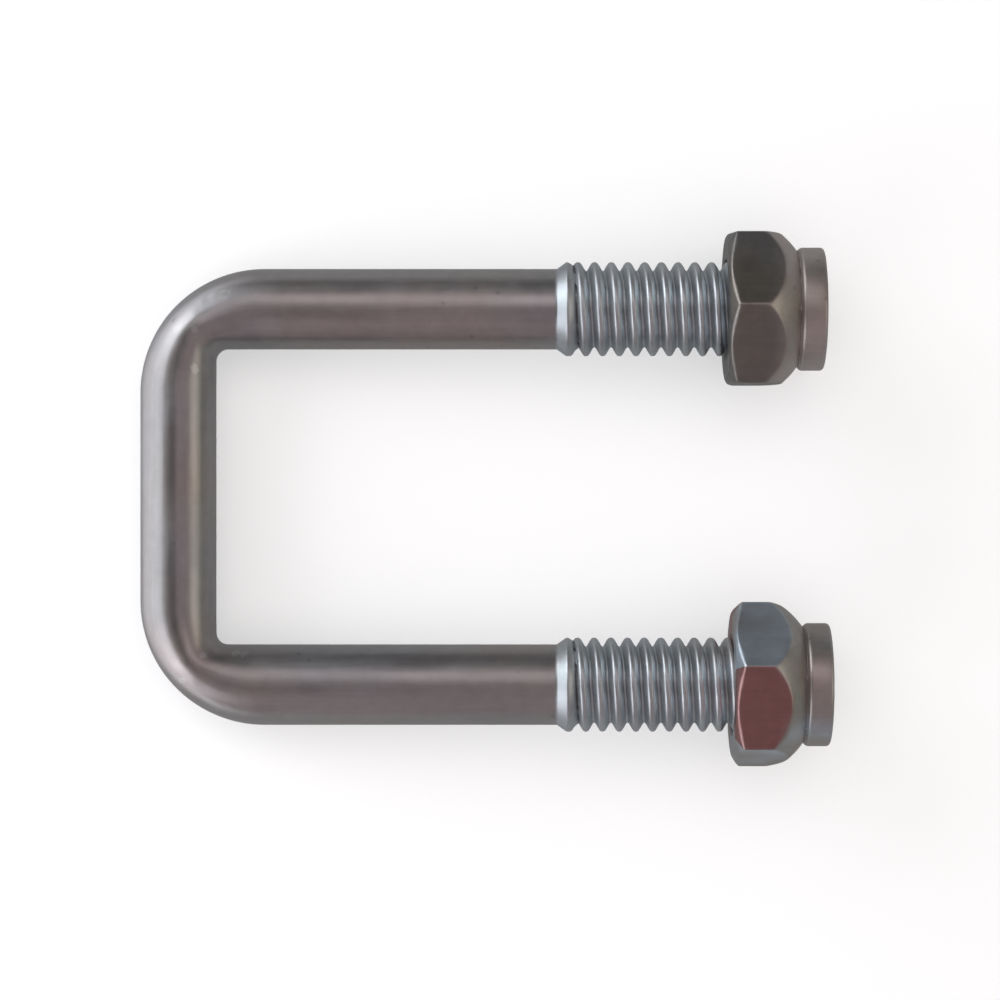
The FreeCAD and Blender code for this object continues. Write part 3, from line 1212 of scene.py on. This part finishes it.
@dataclass(frozen=True)
class Studio:
    """The pale floor, the dark card, the soft lights and the camera. Sizes in metres.

    bar_rest is where the crossbar touches the floor, as a share of the way to its outer side. The floor's
    mirror image, darkened by painted shade, brightens over mirror_fade, from mirror_gap beyond the crossbar.
    """

    layout: Layout
    lens: float = 120.0
    distance: float = 0.282
    aim: tuple[float, float] = (0.024, -0.00026)
    floor_size: float = 3.0
    floor_gap: float = 0.0003
    bar_rest: float = 0.6
    mirror_gap: float = 0.001
    mirror_fade: float = 0.01
    card_size: tuple[float, float] = (0.12, 0.2)
    card_edge: float = -0.014
    card_height: float = 0.25
    boxes: tuple[SoftBox, ...] = (
        SoftBox("strip", 90, 25, 0.3, 0.22, 0.52, (1.0, 0.95, 0.95)),
        SoftBox("window", 180, 74, 0.5, 0.44, 1.1, (0.9, 0.94, 1.0)),
        SoftBox("left_pane", 138, 66, 0.3, 0.34, 2.1, (0.93, 0.96, 1.0), distance=0.44),
        SoftBox("right_pane", 222, 66, 0.3, 0.34, 1.3, (0.95, 0.93, 1.0), distance=0.44),
        SoftBox("wall", 0, 58, 0.36, 0.22, 0.64, (1.0, 0.9, 0.78)),
        SoftBox("overhead", 0, 0, 1.0, 1.0, 1.95, (0.97, 1.0, 1.0), 0.8, False, False),
    )

    def build(self) -> None:
        """Set up everything that isn't the object."""
        self.build_floor()
        self.build_card()
        self.build_room()
        target = Vector((*self.aim, 0))
        for box in self.boxes:
            box.build(target)
        camera = bpy.data.cameras.new("camera")
        camera.lens = self.lens
        camera.sensor_width = 36.0
        camera.clip_start = 0.005
        camera.dof.use_dof = False
        viewer = bpy.data.objects.new("camera", camera)
        viewer.location = (*self.aim, self.distance)
        bpy.context.scene.collection.objects.link(viewer)
        bpy.context.scene.camera = viewer
        bpy.context.scene.view_settings.view_transform = "Standard"

    @staticmethod
    def board(name: str, shape: Matrix, material: Material) -> Object:
        """Make a flat board for the set.

        Args:
            name: its name.
            shape: what a board of one metre square is moved and stretched by.
            material: its finish.

        Returns:
            The board.
        """
        bm = bmesh.new()
        bmesh.ops.create_grid(bm, x_segments=1, y_segments=1, size=0.5)
        bmesh.ops.transform(bm, matrix=shape, verts=bm.verts)
        mesh = bpy.data.meshes.new(name)
        bm.to_mesh(mesh)
        bm.free()
        mesh.materials.append(material)
        board = bpy.data.objects.new(name, mesh)
        bpy.context.scene.collection.objects.link(board)
        return board

    def build_floor(self) -> None:
        """Lay the floor under the crossbar and the nuts' lowest corners."""
        bar_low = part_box("u_bolt")[0]
        nut_low, nut_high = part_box("left_nut")
        nut_x = (nut_low[0] + nut_high[0]) / 2
        bar_x = bar_low[0] * self.bar_rest
        slope = math.atan2(bar_low[2] - nut_low[2], nut_x - bar_x)
        material, graph = blank_material("floor_white")
        mirrored = graph.add("LightPath").outputs["Is Glossy Ray"]
        along = graph.add("SeparateXYZ", {0: graph.add("TexCoord").outputs["Object"]}).outputs[0]
        # The metal mirrors a darker floor than is seen: painted shade in the floor's mirror image, but for
        # the part beyond the crossbar
        edge = bar_low[0] - self.mirror_gap
        beyond = graph.between(along, edge, edge - self.mirror_fade)
        mirror = graph.mix(beyond, (0.3, 0.3, 0.3, 1.0), (0.9, 0.9, 0.93, 1.0))
        pale = graph.mix(mirrored, (0.9, 0.9, 0.9, 1.0), mirror)
        graph.surface({"Base Color": pale, "Roughness": 0.9, "Specular IOR Level": 0.1})
        lay = Matrix.Translation((nut_x, 0, nut_low[2] - self.floor_gap)) @ Matrix.Rotation(slope, 4, "Y")
        self.board("floor", lay @ Matrix.Diagonal((self.floor_size, self.floor_size, 1, 1)), material)

    def build_card(self) -> None:
        """Hang a dark card over the crossbar, so that its top mirrors something dark."""
        size_x, size_y = self.card_size
        hang = Matrix.Translation((self.card_edge - size_x / 2, 0, self.card_height))
        material, graph = blank_material("card_dark")
        graph.surface({"Base Color": (0.06, 0.055, 0.05, 1.0), "Roughness": 0.9})
        card = self.board("dark_card", hang @ Matrix.Diagonal((size_x, size_y, 1, 1)), material)
        card.visible_camera = False
        card.visible_diffuse = False
        card.visible_shadow = False

    @staticmethod
    def build_room() -> None:
        """A dim warm room, darker towards +Y, for the metal to mirror. The camera sees it as pale."""
        world = bpy.data.worlds.new("room")
        world.use_nodes = True
        world.node_tree.nodes.clear()
        graph = Graph(world.node_tree)
        way = graph.add("TexCoord").outputs["Generated"]
        parts = graph.add("SeparateXYZ", {0: way})
        dark = graph.between(parts.outputs["Y"], 0.62, 0.82)
        green = graph.between(parts.outputs["X"], 0.5, 0.95)
        room = graph.mix(dark, (0.32, 0.26, 0.27, 1.0), (0.1, 0.105, 0.11, 1.0))
        room = graph.mix(green, room, (0.24, 0.24, 0.21, 1.0))
        brown = graph.between(parts.outputs["X"], -0.05, -0.35)
        room = graph.mix(brown, room, (0.2, 0.17, 0.155, 1.0))
        seen = graph.add("LightPath").outputs["Is Camera Ray"]
        colour = graph.mix(seen, room, (0.9, 0.9, 0.9, 1.0))
        graph.add("OutputWorld", {"Surface": graph.add("Background", {"Color": colour}).outputs[0]})
        bpy.context.scene.world = world


# --- Everything together ---


ROD_STEEL = PlatedSteel(
    name="rod_steel",
    colour=(0.44, 0.43, 0.43),
    warm=(0.46, 0.4, 0.38),
    cool=(0.38, 0.4, 0.44),
    hollow_and_nick_colour=(0.1, 0.1, 0.1),
    rubbed=(0.62, 0.62, 0.63),
    follows=Coordinates.STRAIGHT_ROD,
    worked_colour=(0.56, 0.61, 0.64),
)
NUT_STEELS = {
    Side.LEFT: PlatedSteel(
        name="left_nut_steel",
        colour=(0.24, 0.24, 0.235),
        warm=(0.26, 0.22, 0.17),
        cool=(0.21, 0.22, 0.235),
        roughness=0.3,
        worked_colour=(0.56, 0.52, 0.5),
    ),
    Side.RIGHT: PlatedSteel(
        name="right_nut_steel",
        colour=(0.4, 0.38, 0.37),
        warm=(0.37, 0.17, 0.16),
        cool=(0.62, 0.74, 0.84),
        tint=0.85,
        roughness=0.28,
        shift=(0.013, 0.004, 0.02),
        worked_colour=(0.47, 0.46, 0.44),
    ),
}
NUT_TURNS = {Side.LEFT: 0.0, Side.RIGHT: -15.0}
FLAT_WARMTH = {Side.LEFT: (0.0, 0.0, 0.2, -0.2, 0.0, 0.0), Side.RIGHT: (0.0, 0.0, -1.0, 1.0, -0.6, 0.0)}


def settled(piece: Object, node: str, body: str, material: Material) -> None:
    """Dress a piece and tell the frame what it is.

    Args:
        piece: the piece.
        node: the CAD node that it stands for.
        body: the body that it moves with.
        material: its finish.
    """
    piece.data.materials.append(material)
    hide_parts(node)
    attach(piece, body)
    log.info("%s: %d faces, on %s", piece.name, len(piece.data.polygons), body)


def main() -> None:
    """Build the object and the studio."""
    logging.basicConfig(level=logging.INFO, format="%(name)s: %(message)s")
    layout = Layout.from_frame()
    effects = Effects()
    settled(BentRod(layout).build(), "u_bolt", "bent_rod", ROD_STEEL.material(effects))
    nylon = Nylon().material(effects)
    for side in Side:
        nut = LockNut(layout, side, NUT_TURNS[side], flat_warmth=FLAT_WARMTH[side])
        word = side.word
        steel = NUT_STEELS[side].material(effects)
        settled(nut.build(), f"{word}_nut", f"{word}_nut", steel)
        settled(nut.build_insert(), f"{word}_insert", f"{word}_insert", nylon)
    Studio(layout).build()


if __name__ == "__main__":
    main()
